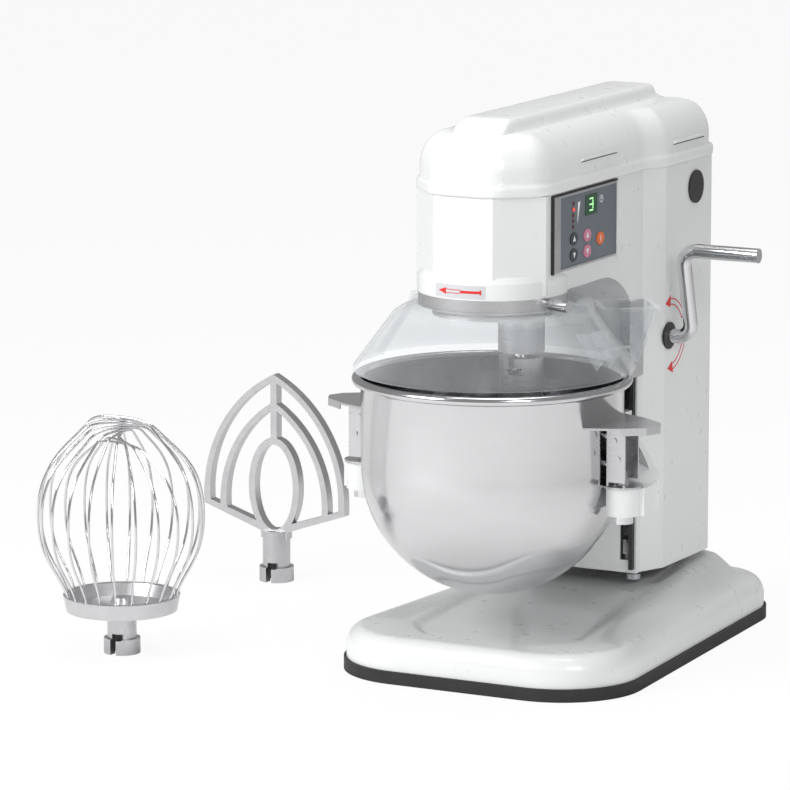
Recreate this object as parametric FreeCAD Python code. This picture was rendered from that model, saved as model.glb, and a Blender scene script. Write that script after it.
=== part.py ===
import FreeCAD, Part
import math
import os

# Table-top planetary mixer, 7 litre class. Millimetres, +Z up, front towards -Y, crank side +X.
# The origin is on the bowl's axis, at the height of the bench.

V = FreeCAD.Vector
UP = V(0, 0, 1)

# --- base ---
MAT_HEIGHT = 12.0          # rubber tray under the whole base
MAT_FLOOR = 3.0
MAT_RIM = 9.0
BASE_FRONT = -75.0
BASE_REAR = 392.0
BASE_HALF_FRONT = 155.0
BASE_HALF_REAR = 124.0
FRONT_CORNER = 80.0
REAR_CORNER = 58.0
BASE_INSET = 2.5           # the shell stands back from the rubber's edge
BASE_TOP = 42.0
BASE_ROLL = 15.0
BASE_WALL = 5.0
DISH_RADIUS = 97.0
DISH_Y = 46.0
DISH_DEPTH = 4.0
PEDESTAL_TOP = 72.0
PEDESTAL_FLARE = 34.0
PLATE_THICK = 2.0

# --- column and head, one hollow casting ---
COLUMN_FRONT = 174.0
COLUMN_REAR = 320.0
COLUMN_HALF = 78.0         # half width behind the step
HEAD_HALF = 67.0           # half width of the head and of the column's front
STEP_START = 183.0
STEP_END = 211.0
NOSE_HALF = 30.5
NOSE_FRONT = -61.0
NOSE_CUT = HEAD_HALF - NOSE_HALF
CASTING_WALL = 4.0
HEAD_BOTTOM = 370.0
SEAM_Z = 462.0
THROAT_RADIUS = 80.0
COLLAR_RADIUS = 70.0
COLLAR_BOTTOM = 368.0
COLLAR_TOP = 383.0
COLLAR_BORE = 54.0

# --- cover ---
COVER_LIP = 12.0
LIP_PROUD = 2.5
COVER_TOP = 517.0
COVER_ROLL = 26.0
SPINE_TOP = 530.0
SPINE_HALF = 27.0
SPINE_REAR = 300.0
COVER_SCREW_Y = 72.0

# --- drive ---
SHAFT_R = 12.0
RUN = 0.03                 # running clearance of shafts in bearings
SEAT = 0.02                # light fit of bearings and bushes in their seats
BAND_RADIUS = 69.3
BAND_BORE = 60.0
BAND_BOTTOM = 355.5
GEAR_MODULE = 1.5
RING_TEETH = 60
PLANET_TEETH = 20
ORBIT = (RING_TEETH - PLANET_TEETH) * GEAR_MODULE / 2
RING_FACE = 11.0
CARRIER_R = 56.0
CARRIER_BOTTOM = 346.0
CARRIER_THICK = 8.0
TOOL_SHAFT_R = 8.5
TOOL_SHAFT_BOTTOM = 268.0
POD_R = 21.7               # round housing of the tool shaft
POD_BOTTOM = 313.0
PULLEY_R = 48.0
MOTOR_PULLEY_R = 12.0
PULLEY_BOTTOM = 434.0
PULLEY_FACE = 12.0
PULLEY_FLANGE = 1.5
BELT_THICK = 2.0
BELT_GAP = 0.4
MOTOR_Y = 262.0
MOTOR_R = 42.0
MOTOR_BOTTOM = 352.0
MOTOR_TOP = 424.0

# --- lift ---
TRAVEL = 38.0
PINION_TEETH = 24
PINION_R = PINION_TEETH * GEAR_MODULE / 2
CRANK_Y = 219.0
CRANK_Z = 298.0
CRANK_R = 7.0
CRANK_PLANE = 103.0
CRANK_RISE = 87.5
CRANK_LEAN = -22.5
GRIP_END = 182.0
ROD_R = 8.0
ROD_X = 38.0
ROD_Y = 262.0
ROD_TOP = 345.0
SLOT_X = 55.0
SLOT_WIDTH = 10.0
SLOT_BOTTOM = 84.0
SLOT_TOP = 300.0
WEB_THICK = 6.0

# --- bowl and its cradle ---
BOWL_R = 122.7
BOWL_WALL = 1.5
BOWL_CENTRE_Z = 204.4
RIM_R = 131.0
RIM_TOP = 289.0
BEAD_R = 4.4
PIN_X = 135.0
PIN_R = 6.0
PIN_PLAY = 0.3
TAB_R = 19.0
TAB_THICK = 2.0
YOKE_TOP = 194.0
YOKE_DEEP = 26.0
YOKE_INNER = 131.0
YOKE_OUTER = 157.0
PAD_R = 17.0
BOWL_PLAY = 2.3            # free space between the bowl and its cradle
HANDLE_Z = 252.0
HANDLE_TIP = 173.0

# --- guard ---
GUARD_BORE = 69.6
GUARD_WALL = 2.5
GUARD_SHOULDER_R = 93.0
GUARD_SHOULDER_Z = 346.5
GUARD_FOOT_R = 129.5
GUARD_FOOT_Z = 297.0
GUARD_LIP = 3.5
SHELL_GAP = 1.0            # between the fixed and the turning half
REAR_START = 8.0
REAR_SPAN = 164.0
CHUTE_ANGLE = 35.0
CHUTE_HALF = 27.0
CHUTE_RIM_Z = 352.0
CHUTE_RIM_R = 152.0
GUARD_PIN_ANGLE = -15.0
GUARD_PIN_Z = 361.75

# --- control panel on the +X side of the head ---
PANEL_Y = (-12.0, 120.5)
PANEL_Z = (389.0, 459.5)
PANEL_THICK = 2.6
PANEL_FRAME = 2.0
KEY_SPOTS = {
    "speed_up_key": (30.0, 416.0),
    "speed_down_key": (30.0, 401.0),
    "timer_up_key": (58.0, 416.0),
    "timer_down_key": (58.0, 401.0),
    "start_stop_key": (86.0, 409.5),
}
KEY_HALF_Y = 7.6
KEY_HALF_Z = 6.0
KEY_PLAY = 0.3
KEY_TRAVEL = 0.5
DISPLAY = (54.0, 79.0, 434.5, 453.5)
LIGHT_Y = 29.0
LIGHT_Z = [449.0 - 5.4 * row for row in range(5)]
LIGHT_R = 2.0

# --- the two tools that stand beside the mixer ---
WHISK_X, WHISK_Y = -358.0, -76.0
BEATER_X, BEATER_Y = -386.0, 278.0
SOCKET_R = 8.6
SOCKET_DEPTH = 34.0
TOOL_COLLAR_R = 17.5
TOOL_COLLAR_H = 15.0
TOOL_STEM_R = 14.0
WIRE_R = 1.2
WIRE_LOOPS = 11
WHISK_RING_R = 56.0
WHISK_RING_Z = 42.0
WHISK_BULGE = 79.0
WHISK_BULGE_Z = 133.0
WHISK_TOP = 229.0
BEATER_HALF = 81.0
BEATER_TOP = 213.0
BEATER_CORNER_Z = 74.0
BEATER_BAR = 7.0
BEATER_THICK = 11.0


def box(x0, x1, y0, y1, z0, z1):
    return Part.makeBox(x1 - x0, y1 - y0, z1 - z0, V(x0, y0, z0))


def rod(radius, z0, z1, x=0.0, y=0.0):
    return Part.makeCylinder(radius, z1 - z0, V(x, y, z0))


def rod_along(radius, start, end):
    return Part.makeCylinder(radius, (end - start).Length, start, end - start)


def ring(outer, inner, z0, z1, x=0.0, y=0.0):
    return rod(outer, z0, z1, x, y).cut(rod(inner, z0 - 1, z1 + 1, x, y))


def face_of(points):
    return Part.Face(Part.makePolygon(points + [points[0]]))


def prism(outline, z0, z1):
    """Upright prism on a list of (x, y) corners."""
    return face_of([V(x, y, z0) for x, y in outline]).extrude(V(0, 0, z1 - z0))


def side_prism(outline, x0, x1):
    """Prism along X on a list of (y, z) corners."""
    return face_of([V(x0, y, z) for y, z in outline]).extrude(V(x1 - x0, 0, 0))


def both_sides(half):
    """Closed outline from its +X half, listed front to rear."""
    return half + [(-x, y) for x, y in reversed(half)]


def offset_outline(outline, distance, z0, z1):
    grown = face_of([V(x, y, z0) for x, y in outline]).makeOffset2D(distance, 2)
    return grown.extrude(V(0, 0, z1 - z0))


def lathe(profile, start=0.0, span=360.0):
    """Turns a closed list of (radius, z) corners about the bowl's axis."""
    turned = face_of([V(r, 0, z) for r, z in profile]).revolve(V(0, 0, 0), UP, span)
    turned.rotate(V(0, 0, 0), UP, start)
    return turned


def fused(shapes):
    whole = shapes[0].multiFuse(shapes[1:]) if len(shapes) > 1 else shapes[0]
    return whole.removeSplitter()


def upright_edges(shape):
    found = []
    for edge in shape.Edges:
        low, high = edge.BoundBox.ZMin, edge.BoundBox.ZMax
        if edge.BoundBox.XLength < 0.01 and edge.BoundBox.YLength < 0.01 and high - low > 1:
            found.append(edge)
    return found


def edges_at(shape, z):
    return [e for e in shape.Edges if abs(e.BoundBox.ZMin - z) < 0.01 and abs(e.BoundBox.ZMax - z) < 0.01]


def save(node, *shapes):
    solids = [solid for shape in shapes for solid in shape.Solids]
    body = solids[0] if len(solids) == 1 else Part.makeCompound(solids)
    body.exportStep("parts/" + node + ".step")


def turned_about_axis(shape, degrees):
    copy = shape.copy()
    copy.rotate(V(0, 0, 0), UP, degrees)
    return copy


def bent_rod(points, radius, bend):
    """Round bar along a route of straight runs, with an arc at each inner point."""
    edges = []
    start = points[0]
    for before, corner, after in zip(points, points[1:], points[2:]):
        way_in = (before - corner).normalize()
        way_out = (after - corner).normalize()
        turn = math.pi - way_in.getAngle(way_out)
        room = 0.45 * min((before - corner).Length, (after - corner).Length)
        setback = min(bend * math.tan(turn / 2), room)
        arc_r = setback / math.tan(turn / 2)
        first = corner + way_in * setback
        last = corner + way_out * setback
        inward = (way_in + way_out).normalize()
        middle = corner + inward * (arc_r / math.cos(turn / 2) - arc_r)
        edges.append(Part.LineSegment(start, first).toShape())
        edges.append(Part.Arc(first, middle, last).toShape())
        start = last
    edges.append(Part.LineSegment(start, points[-1]).toShape())
    section = Part.Wire([Part.Circle(points[0], points[1] - points[0], radius).toShape()])
    return Part.Wire(edges).makePipeShell([section], True, False)


def toothed_outline(teeth, module, tip, root, phase=0.0):
    """Corners of a gear with straight-sided teeth, thinned for backlash."""
    pitch = 2 * math.pi / teeth
    corners = []
    for tooth in range(teeth):
        middle = (tooth + phase) * pitch
        for share, reach in ((-0.30, root), (-0.12, tip), (0.12, tip), (0.30, root)):
            angle = middle + share * pitch
            corners.append((reach * math.cos(angle), reach * math.sin(angle)))
    return corners


os.makedirs("parts", exist_ok=True)


# ------------------------------------------------------------------ base
def base_block(inset, z0, z1):
    front, rear = BASE_FRONT + inset, BASE_REAR - inset
    half_front, half_rear = BASE_HALF_FRONT - inset, BASE_HALF_REAR - inset
    block = prism(both_sides([(half_front, front), (half_rear, rear)]), z0, z1)
    corners = upright_edges(block)
    front_edges = [e for e in corners if e.BoundBox.YMax < 0]
    rear_edges = [e for e in corners if e.BoundBox.YMax > 0]
    block = block.makeFillet(FRONT_CORNER - inset, front_edges)
    rear_edges = [e for e in upright_edges(block) if abs(e.BoundBox.YMax - rear) < 0.01
                  and abs(abs(e.BoundBox.XMax) - half_rear) < 0.5]
    return block.makeFillet(REAR_CORNER - inset, rear_edges)


def base_posts(radius, z0, z1):
    spots = [(x, y) for x in (-95.0, 95.0) for y in (BASE_FRONT + 55.0, BASE_REAR - 60.0)]
    return [rod(radius, z0, z1, x, y) for x, y in spots]


COLUMN_BOLTS = [(x, y) for x in (-54.0, 54.0) for y in (COLUMN_FRONT + 22.0, COLUMN_REAR - 18.0)]

column_half = [(HEAD_HALF, COLUMN_FRONT), (HEAD_HALF, STEP_START), (COLUMN_HALF, STEP_END),
               (COLUMN_HALF, COLUMN_REAR - 5.0), (COLUMN_HALF - 5.0, COLUMN_REAR)]
head_half = [(NOSE_HALF, NOSE_FRONT), (HEAD_HALF, NOSE_FRONT + NOSE_CUT)] + column_half[1:]
column_outline = both_sides(column_half)
head_outline = both_sides(head_half)

plate_z = MAT_FLOOR + PLATE_THICK
mat = base_block(0.0, 0.0, MAT_HEIGHT).cut(base_block(MAT_RIM, MAT_FLOOR, MAT_HEIGHT + 1))
for hole in base_posts(8.0, -1.0, MAT_FLOOR + 1):
    mat = mat.cut(hole)
save("rubber_base_mat", mat)

bottom_plate = base_block(MAT_RIM + 0.3, MAT_FLOOR, plate_z)
for hole in base_posts(2.6, MAT_FLOOR - 1, plate_z + 1):
    bottom_plate = bottom_plate.cut(hole)
save("base_bottom_plate", bottom_plate)

pedestal_wide = [(COLUMN_HALF + PEDESTAL_FLARE, COLUMN_FRONT - PEDESTAL_FLARE),
                 (COLUMN_HALF + PEDESTAL_FLARE, COLUMN_REAR + PEDESTAL_FLARE)]
pedestal_narrow = [(COLUMN_HALF + 3.0, COLUMN_FRONT - 3.0), (COLUMN_HALF + 3.0, COLUMN_REAR + 3.0)]


def pedestal(inset, z0, z1):
    wires = []
    for half, z in ((pedestal_wide, z0), (pedestal_narrow, z1)):
        outline = both_sides([(half[0][0] - inset, half[0][1] + inset), (half[1][0] - inset, half[1][1] - inset)])
        wires.append(Part.makePolygon([V(x, y, z) for x, y in outline + outline[:1]]))
    return Part.makeLoft(wires, True, True)


shell = base_block(BASE_INSET, MAT_HEIGHT, BASE_TOP)
shell = shell.makeFillet(BASE_ROLL, edges_at(shell, BASE_TOP))
dish = Part.makeCone(DISH_RADIUS - 14.0, DISH_RADIUS, DISH_DEPTH, V(0, DISH_Y, BASE_TOP - DISH_DEPTH), UP)
shell = shell.cut(dish)
shell = shell.fuse(pedestal(0.0, BASE_TOP - 12.0, PEDESTAL_TOP))
hollow = base_block(MAT_RIM + 4.0, MAT_HEIGHT - 1, BASE_TOP - BASE_WALL - DISH_DEPTH)
shell = shell.cut(hollow).cut(pedestal(BASE_WALL, BASE_TOP - 14.0, PEDESTAL_TOP - BASE_WALL))
posts = [p.cut(b) for p, b in zip(base_posts(7.0, plate_z, BASE_TOP - BASE_WALL),
                                  base_posts(2.5, plate_z - 1, BASE_TOP - BASE_WALL - 6))]
shell = shell.multiFuse(posts)
for x, y in COLUMN_BOLTS:
    shell = shell.cut(rod(4.0, PEDESTAL_TOP - 20, PEDESTAL_TOP + 1, x, y))
save("base_shell", shell.removeSplitter())

screws = [head.fuse(shank) for head, shank in zip(base_posts(5.0, 0.6, MAT_FLOOR),
                                                  base_posts(2.5, MAT_FLOOR - 0.5, plate_z + 18))]
for x, y in COLUMN_BOLTS:
    bolt_head = rod(7.0, PEDESTAL_TOP - BASE_WALL - 5, PEDESTAL_TOP - BASE_WALL, x, y)
    screws.append(bolt_head.fuse(rod(4.0, PEDESTAL_TOP - BASE_WALL - 1, PEDESTAL_TOP + 22, x, y)))
save("base_screws", *screws)


# ------------------------------------------------------------------ column and head casting
throat_front = COLUMN_FRONT - THROAT_RADIUS
throat_low = HEAD_BOTTOM - THROAT_RADIUS


def throat(radius, half):
    corner = box(-half, half, throat_front, COLUMN_FRONT + 6.0, throat_low, HEAD_BOTTOM + 6.0)
    hollow_cylinder = rod_along(radius, V(-half - 1, throat_front, throat_low), V(half + 1, throat_front, throat_low))
    return corner.cut(hollow_cylinder)


def slots(x_inner, x_outer, y0, y1, z0, z1):
    return [box(x_inner, x_outer, y0, y1, z0, z1), box(-x_outer, -x_inner, y0, y1, z0, z1)]


slot_inner = SLOT_X - SLOT_WIDTH / 2
slot_outer = SLOT_X + SLOT_WIDTH / 2
collar_flare = Part.makeCone(COLLAR_RADIUS, HEAD_HALF - 0.5, 6.0, V(0, 0, COLLAR_TOP), UP)
casting = fused([prism(head_outline, HEAD_BOTTOM, SEAM_Z), prism(column_outline, PEDESTAL_TOP, SEAM_Z),
                 throat(THROAT_RADIUS, HEAD_HALF), rod(COLLAR_RADIUS, COLLAR_BOTTOM, COLLAR_TOP), collar_flare])
head_floor = HEAD_BOTTOM + CASTING_WALL
casting = casting.cut(offset_outline(head_outline, -CASTING_WALL, head_floor, SEAM_Z + 1))
casting = casting.cut(offset_outline(column_outline, -CASTING_WALL, PEDESTAL_TOP - 1, SEAM_Z + 1))
casting = casting.cut(throat(THROAT_RADIUS + CASTING_WALL, HEAD_HALF - CASTING_WALL))
casting = casting.cut(rod(COLLAR_BORE, COLLAR_BOTTOM - 1, head_floor + 1))
for slot in slots(slot_inner, slot_outer, COLUMN_FRONT - 1, COLUMN_FRONT + CASTING_WALL + 1, SLOT_BOTTOM, SLOT_TOP):
    casting = casting.cut(slot)

REAR_OPENING = (COLUMN_HALF - 20.0, PEDESTAL_TOP + 24.0, SEAM_Z - 28.0)
casting = casting.cut(box(-REAR_OPENING[0], REAR_OPENING[0], COLUMN_REAR - 20, COLUMN_REAR + 1,
                          REAR_OPENING[1], REAR_OPENING[2]))
CAP_Y, CAP_Z, CAP_R = 277.0, 435.0, 16.0
CRANK_BOSS_R = 13.0
BUSH_R = 10.0
cross_bore = rod_along(CAP_R - 2, V(-COLUMN_HALF - 1, CAP_Y, CAP_Z), V(COLUMN_HALF + 1, CAP_Y, CAP_Z))
casting = casting.cut(cross_bore)
crank_bore = rod_along(BUSH_R, V(0, CRANK_Y, CRANK_Z), V(COLUMN_HALF + 1, CRANK_Y, CRANK_Z))
casting = casting.cut(crank_bore)
for x, y in COLUMN_BOLTS:
    boss = box(min(x, x * 1.4), max(x, x * 1.4), y - 8, y + 8, PEDESTAL_TOP, PEDESTAL_TOP + 26)
    boss = boss.common(prism(column_outline, PEDESTAL_TOP, SEAM_Z)).fuse(rod(8.0, PEDESTAL_TOP, PEDESTAL_TOP + 26, x, y))
    casting = casting.fuse(boss).cut(rod(4.0, PEDESTAL_TOP - 1, PEDESTAL_TOP + 23, x, y))

COVER_OVERLAP = 6.0
rear_screw_spots = [(side * (REAR_OPENING[0] + 3.0), z) for side in (-1, 1)
                    for z in (REAR_OPENING[1] + 6, (REAR_OPENING[1] + REAR_OPENING[2]) / 2, REAR_OPENING[2] - 6)]
rear_cover = box(-REAR_OPENING[0] - COVER_OVERLAP, REAR_OPENING[0] + COVER_OVERLAP, COLUMN_REAR,
                 COLUMN_REAR + 2.0, REAR_OPENING[1] - COVER_OVERLAP, REAR_OPENING[2] + COVER_OVERLAP)
for z in [REAR_OPENING[2] - 60.0 + 9.0 * row for row in range(5)]:
    rear_cover = rear_cover.cut(box(-32, 32, COLUMN_REAR - 1, COLUMN_REAR + 3, z, z + 4.0))
GLAND_Z = REAR_OPENING[1] + 20.0
GLAND_R = 8.0
rear_cover = rear_cover.cut(rod_along(GLAND_R, V(0, COLUMN_REAR - 1, GLAND_Z), V(0, COLUMN_REAR + 3, GLAND_Z)))
screws = []
for x, z in rear_screw_spots:
    shank = rod_along(2.0, V(x, COLUMN_REAR - CASTING_WALL, z), V(x, COLUMN_REAR + 2.5, z))
    casting = casting.cut(shank)
    rear_cover = rear_cover.cut(shank)
    screws.append(shank.fuse(rod_along(3.8, V(x, COLUMN_REAR + 2.0, z), V(x, COLUMN_REAR + 4.2, z))))
save("rear_cover", rear_cover)

gland_body = rod_along(GLAND_R - SEAT, V(0, COLUMN_REAR - 8, GLAND_Z), V(0, COLUMN_REAR + 2, GLAND_Z))
gland_nut = rod_along(11.0, V(0, COLUMN_REAR + 2, GLAND_Z), V(0, COLUMN_REAR + 12, GLAND_Z))
gland_bore = rod_along(3.6, V(0, COLUMN_REAR - 9, GLAND_Z), V(0, COLUMN_REAR + 13, GLAND_Z))
save("cable_gland", fused([gland_body, gland_nut]).cut(gland_bore))

# guard bracket: folded strip on the column's +X front edge, with an arm out to the fixed guard half
BRACKET_Z = (265.0, 338.0)
BRACKET_REACH = 22.0
BRACKET_THICK = 2.0
ARM_ANGLE = 66.0
rear_foot_r = GUARD_FOOT_R + SHELL_GAP + GUARD_WALL
bracket_front = COLUMN_FRONT - BRACKET_REACH
bracket_side = box(HEAD_HALF, HEAD_HALF + BRACKET_THICK, bracket_front, STEP_START - 0.5, *BRACKET_Z)
bracket_face = box(HEAD_HALF - 9.0, HEAD_HALF + BRACKET_THICK, bracket_front, bracket_front + BRACKET_THICK, *BRACKET_Z)
arm = box(rear_foot_r + 0.3, 169.0, -6.0, 6.0, GUARD_FOOT_Z - 1, GUARD_FOOT_Z + 2)
guard_bracket = fused([bracket_side, bracket_face, turned_about_axis(arm, ARM_ANGLE)])
screw_at = V(HEAD_HALF, COLUMN_FRONT + 4.5, 303.0)
bracket_screw = rod_along(2.0, screw_at - V(CASTING_WALL - 0.5, 0, 0), screw_at + V(BRACKET_THICK + 1, 0, 0))
guard_bracket = guard_bracket.cut(bracket_screw)
casting = casting.cut(bracket_screw)
save("guard_bracket", guard_bracket)
screws.append(bracket_screw.fuse(rod_along(4.0, screw_at + V(BRACKET_THICK, 0, 0), screw_at + V(BRACKET_THICK + 2.4, 0, 0))))
save("body_casting", casting.removeSplitter())

caps = []
for side in (-1, 1):
    wall = side * COLUMN_HALF
    stem = rod_along(CAP_R - 2 - SEAT, V(wall - side * CASTING_WALL, CAP_Y, CAP_Z), V(wall, CAP_Y, CAP_Z))
    caps.append(stem.fuse(rod_along(CAP_R, V(wall, CAP_Y, CAP_Z), V(wall + side * 2.0, CAP_Y, CAP_Z))))
save("side_caps", *caps)

RAIL = (61.0, 65.0, 5.0)
rails = slots(RAIL[0], RAIL[1], COLUMN_FRONT - RAIL[2], COLUMN_FRONT, SLOT_BOTTOM - 8, throat_low)
save("front_rails", *rails)

lip_gap = WEB_THICK / 2 + 0.4
seals = []
for near, far in ((slot_inner, SLOT_X - lip_gap), (SLOT_X + lip_gap, slot_outer)):
    seals += slots(near, far, COLUMN_FRONT + 1, COLUMN_FRONT + 3, SLOT_BOTTOM, SLOT_TOP)
save("slot_seals", *seals)

# cover: rolled shell on the head's outline, with a raised spine
cover_outline = both_sides([point for point in head_half if point[1] < COLUMN_REAR - 10] + [(COLUMN_HALF, COLUMN_REAR)])


def inset_wire(inset, z):
    base = face_of([V(x, y, z) for x, y in cover_outline])
    return (base.makeOffset2D(-inset, 2) if inset else base).Wires[0]


cover = fused([offset_outline(head_outline, LIP_PROUD, SEAM_Z, SEAM_Z + COVER_LIP),
               prism(cover_outline, SEAM_Z, COVER_TOP - COVER_ROLL)])
roll = [(COVER_ROLL * (1 - math.cos(math.radians(t))), COVER_TOP - COVER_ROLL * (1 - math.sin(math.radians(t))))
        for t in (0, 25, 50, 72, 90)]
for (inset_a, z_a), (inset_b, z_b) in zip(roll, roll[1:]):
    cover = cover.fuse(Part.makeLoft([inset_wire(inset_a, z_a), inset_wire(inset_b, z_b)], True, True))
cover = cover.removeSplitter()
spine = box(-SPINE_HALF, SPINE_HALF, NOSE_FRONT + 12, SPINE_REAR, SEAM_Z + 6, SPINE_TOP)
front_top = [e for e in edges_at(spine, SPINE_TOP) if e.BoundBox.YMax < 0]
spine = spine.makeFillet(20.0, front_top)
cover = cover.fuse(spine)
inner = offset_outline(head_outline, -CASTING_WALL, SEAM_Z - 1, COVER_TOP - COVER_ROLL)
crown = offset_outline(head_outline, -14.0, SEAM_Z - 1, COVER_TOP - 5.0)
cover = cover.cut(inner).cut(crown)
screw_post = rod(7.0, SEAM_Z + 26, COVER_TOP - 4, 0, COVER_SCREW_Y)
cover = cover.fuse(screw_post)
screw_hole = rod(2.5, SEAM_Z + 20, SPINE_TOP + 1, 0, COVER_SCREW_Y)
screw_sink = rod(6.0, SPINE_TOP - 3, SPINE_TOP + 1, 0, COVER_SCREW_Y)
cover = cover.cut(screw_hole).cut(screw_sink)
save("head_cover", cover.removeSplitter())
screws.append(rod(2.5, SEAM_Z + 28, SPINE_TOP - 3, 0, COVER_SCREW_Y).fuse(
    rod(4.5, SPINE_TOP - 3, SPINE_TOP - 0.8, 0, COVER_SCREW_Y)))
save("housing_screws", *screws)


# ------------------------------------------------------------------ fixed parts of the drive
def pin_axis(radius):
    angle = math.radians(GUARD_PIN_ANGLE)
    return V(radius * math.cos(angle), radius * math.sin(angle), GUARD_PIN_Z)


PIN_STEM_R = 3.0
BUSH_END = 77.0
band = ring(BAND_RADIUS, BAND_BORE, BAND_BOTTOM, COLLAR_BOTTOM)
band = band.fuse(rod_along(4.8, pin_axis(BAND_RADIUS - 3), pin_axis(BUSH_END)))
band = band.cut(rod_along(PIN_STEM_R + RUN, pin_axis(BAND_BORE - 2), pin_axis(BUSH_END + 1)))
save("steel_band", band)

pitch_r = RING_TEETH * GEAR_MODULE / 2
ring_gear = rod(BAND_BORE - SEAT, COLLAR_BOTTOM - RING_FACE, COLLAR_BOTTOM)
teeth_space = toothed_outline(RING_TEETH, GEAR_MODULE, pitch_r + 1.9, pitch_r - 1.3)
save("ring_gear", ring_gear.cut(prism(teeth_space, COLLAR_BOTTOM - RING_FACE - 1, COLLAR_BOTTOM + 1)))

BEARING_R = 21.0
HOUSING_TOP = 426.0
housing_profile = [(SHAFT_R + 3, head_floor), (56.4, head_floor), (56.4, head_floor + 8), (30, head_floor + 14),
                   (30, HOUSING_TOP), (SHAFT_R + 3, HOUSING_TOP)]
bearing_housing = lathe(housing_profile)
bearings = []
for low in (head_floor, HOUSING_TOP - 12):
    bearing_housing = bearing_housing.cut(rod(BEARING_R, low, low + 12))
    bearings.append(ring(BEARING_R - SEAT, SHAFT_R + RUN, low, low + 12))
save("bearing_housing", bearing_housing)
save("main_bearings", *bearings)

motor_inner = COLUMN_HALF - CASTING_WALL
motor_can = rod(MOTOR_R, MOTOR_BOTTOM, MOTOR_TOP, 0, MOTOR_Y)
motor_can = motor_can.makeFillet(5.0, edges_at(motor_can, MOTOR_BOTTOM))
motor_plate = box(-motor_inner, motor_inner, MOTOR_Y - 34, MOTOR_Y + 34, MOTOR_TOP, MOTOR_TOP + 4)
MOTOR_SHAFT_R = 6.0
motor = fused([motor_can, motor_plate])
save("motor_body", motor.cut(rod(MOTOR_SHAFT_R + RUN, MOTOR_TOP - 40, MOTOR_TOP + 5, 0, MOTOR_Y)))


def belt_loop(extra, z0, z1):
    """Filled outline around both pulleys, extra millimetres outside them."""
    big, small = PULLEY_R + extra, MOTOR_PULLEY_R + extra
    lean = math.asin((big - small) / MOTOR_Y)
    touch = V(math.cos(lean), math.sin(lean), 0)
    mirror = V(-touch.x, touch.y, 0)
    motor_at = V(0, MOTOR_Y, 0)
    outline = Part.Wire([
        Part.LineSegment(touch * big, motor_at + touch * small).toShape(),
        Part.Arc(motor_at + touch * small, motor_at + V(0, small, 0), motor_at + mirror * small).toShape(),
        Part.LineSegment(motor_at + mirror * small, mirror * big).toShape(),
        Part.Arc(mirror * big, V(0, -big, 0), touch * big).toShape()])
    loop = Part.Face(outline).extrude(V(0, 0, z1 - z0))
    loop.translate(V(0, 0, z0))
    return loop


belt_z = (PULLEY_BOTTOM + PULLEY_FLANGE + 0.5, PULLEY_BOTTOM + PULLEY_FACE - PULLEY_FLANGE - 0.5)
belt = belt_loop(BELT_GAP + BELT_THICK, *belt_z).cut(belt_loop(BELT_GAP, belt_z[0] - 1, belt_z[1] + 1))
save("drive_belt", belt)

board = box(HEAD_HALF - 13, HEAD_HALF - 11, 8.0, 112.0, 396.0, 454.0)
standoffs = [rod_along(3.0, V(HEAD_HALF - 11, y, z), V(HEAD_HALF - CASTING_WALL, y, z))
             for y in (14.0, 106.0) for z in (402.0, 448.0)]
save("control_board", fused([board] + standoffs))

# ------------------------------------------------------------------ control panel
bezel = box(HEAD_HALF, HEAD_HALF + PANEL_THICK, *PANEL_Y, *PANEL_Z)
window = (1.0, PANEL_Y[1] - PANEL_FRAME, PANEL_Z[0] + PANEL_FRAME, PANEL_Z[1] - PANEL_FRAME)
bezel = bezel.cut(box(HEAD_HALF - 1, HEAD_HALF + PANEL_THICK + 1, *window))
save("control_bezel", bezel)


def key_shape(x0, x1, y, z, grow):
    """Oval key cap or its hole, its long axis along Y."""
    oval = Part.Ellipse(V(x0, y, z), KEY_HALF_Y + grow, KEY_HALF_Z + grow)
    oval.Axis = V(1, 0, 0)
    oval.XAxis = V(0, 1, 0)
    return Part.Face(Part.Wire([oval.toShape()])).extrude(V(x1 - x0, 0, 0))


face_x = HEAD_HALF + PANEL_THICK - 1.0
keypad = box(HEAD_HALF, face_x, *window)
for y, z in KEY_SPOTS.values():
    keypad = keypad.cut(key_shape(HEAD_HALF - 1, face_x + 1, y, z, KEY_PLAY))
for node, (y, z) in KEY_SPOTS.items():
    save(node, key_shape(HEAD_HALF + KEY_TRAVEL + 0.1, face_x + 0.8, y, z, 0.0))
keypad = keypad.cut(box(HEAD_HALF - 1, face_x + 1, *DISPLAY))
save("display_lens", box(HEAD_HALF, face_x + 0.4, *DISPLAY))
lights = []
for z in LIGHT_Z:
    light = rod_along(LIGHT_R, V(HEAD_HALF, LIGHT_Y, z), V(face_x + 0.4, LIGHT_Y, z))
    keypad = keypad.cut(light)
    lights.append(light)
save("keypad_plate", keypad)
save("status_lights", *lights)


# ------------------------------------------------------------------ guard
lip_z = GUARD_FOOT_Z - GUARD_LIP
front_outer = [(76, 356), (76, 353.5), (86, 351), (GUARD_SHOULDER_R, GUARD_SHOULDER_Z)]
front_ring = [(GUARD_BORE, 356)] + front_outer + [(GUARD_SHOULDER_R - 2.0, GUARD_SHOULDER_Z - 1.5),
                                                  (85, 348.5), (GUARD_BORE, 350.5)]
front_cone = [(GUARD_SHOULDER_R - 2.0, GUARD_SHOULDER_Z - 1.5), (GUARD_SHOULDER_R, GUARD_SHOULDER_Z),
              (GUARD_FOOT_R, GUARD_FOOT_Z), (GUARD_FOOT_R, lip_z), (GUARD_FOOT_R - GUARD_WALL, lip_z),
              (GUARD_FOOT_R - GUARD_WALL, GUARD_FOOT_Z - 1.0)]
front_start = REAR_START + REAR_SPAN - 2.0
guard_front = lathe(front_ring).fuse(lathe(front_cone, front_start, 364.0 - REAR_SPAN))

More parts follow.
